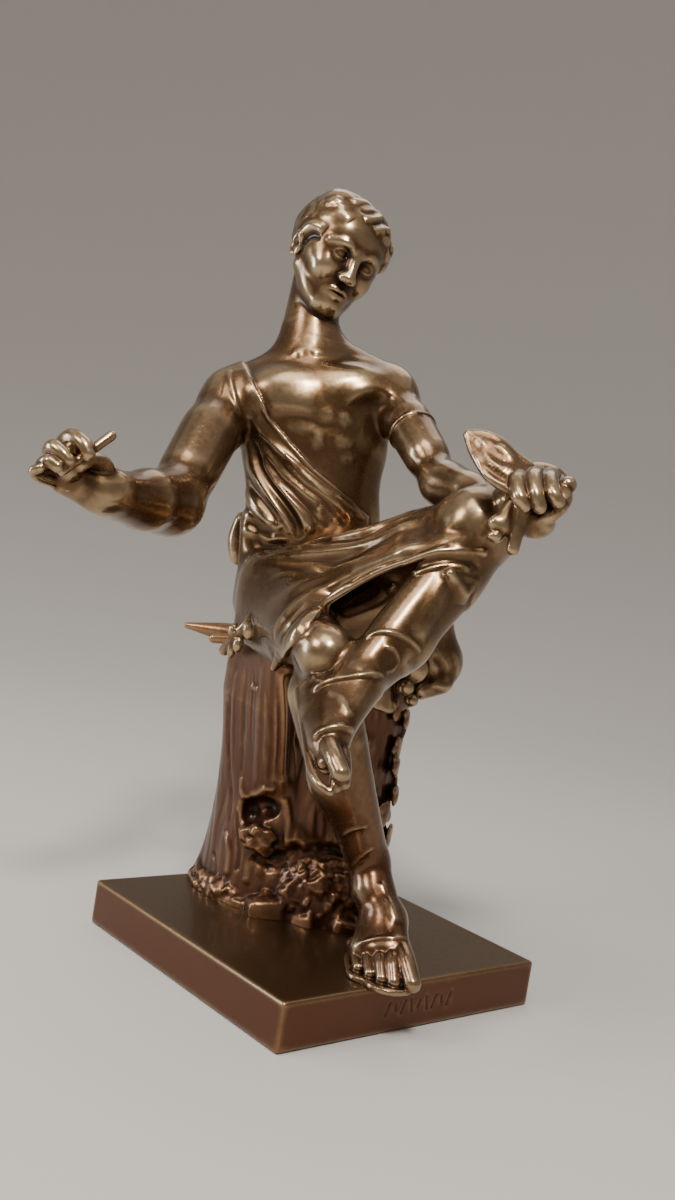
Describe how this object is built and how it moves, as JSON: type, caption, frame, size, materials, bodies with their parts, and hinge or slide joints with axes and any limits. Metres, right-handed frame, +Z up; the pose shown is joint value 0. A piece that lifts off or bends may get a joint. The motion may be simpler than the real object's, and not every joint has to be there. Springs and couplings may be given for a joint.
{
  "type": "bronze sculpture",
  "caption": "Table bronze of a seated youth with a pen and a half unrolled scroll, one ankle over the other knee, on a tree trunk and a square plinth.",
  "frame": {"origin": "centre of the plinth's underside", "axes": "+Z up, -Y out of the plinth's front face, +X along the front edge to the right; the youth faces between -X and -Y"},
  "size_m": [0.2365, 0.2044, 0.3731],
  "materials": {
    "plinth_bronze": "olive brown patina, satin, worn bright along the edges",
    "figure_bronze": "warm brown patina, polished, darker in the hollows"
  },
  "bodies": {
    "root": {"plinth": "plinth_bronze", "youth_on_trunk": "figure_bronze"}
  },
  "joints": []
}
